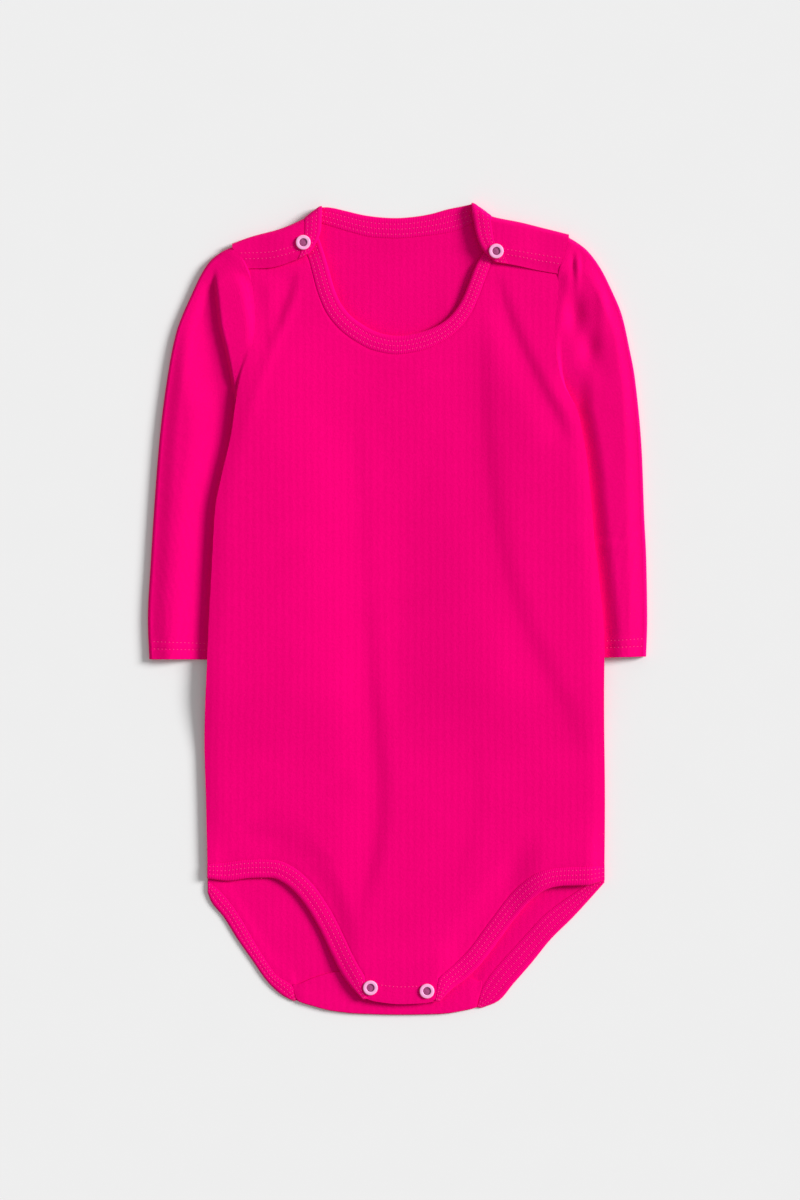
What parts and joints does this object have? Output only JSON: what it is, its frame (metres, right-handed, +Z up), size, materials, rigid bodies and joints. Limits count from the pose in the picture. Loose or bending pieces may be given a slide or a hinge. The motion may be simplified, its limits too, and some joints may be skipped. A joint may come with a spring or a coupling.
{
  "type": "baby bodysuit",
  "caption": "Long-sleeved baby bodysuit with snapped shoulder flaps and a snapped crotch, bound neck and leg openings, laid flat on its back.",
  "frame": {"origin": "middle of the garment's box, on the surface that it lies on", "axes": "+Y from the crotch to the neck, +X to the picture's right, +Z up out of the surface, towards the front panel"},
  "size_m": [0.2594, 0.422, 0.0074],
  "materials": {
    "cotton_knit": "matt hot pink cotton interlock with a faint bloom",
    "cotton_binding": "the same hot pink cotton, folded double and cover-stitched",
    "snap": "smooth pale pink-white enamel"
  },
  "bodies": {
    "root": {"front": "cotton_knit", "back": "cotton_knit", "sleeve_left": "cotton_knit", "sleeve_right": "cotton_knit", "crotch_facing": "cotton_knit", "neck_binding_front": "cotton_binding", "neck_binding_back": "cotton_binding", "leg_binding_front_left": "cotton_binding", "leg_binding_front_right": "cotton_binding", "leg_binding_back_left": "cotton_binding", "leg_binding_back_right": "cotton_binding", "shoulder_snap_ring_left": "snap", "shoulder_snap_ring_right": "snap", "crotch_snap_ring_left": "snap", "crotch_snap_ring_right": "snap", "shoulder_snap_post_left": "snap", "shoulder_snap_post_right": "snap", "crotch_snap_post_left": "snap", "crotch_snap_post_right": "snap"}
  },
  "joints": []
}
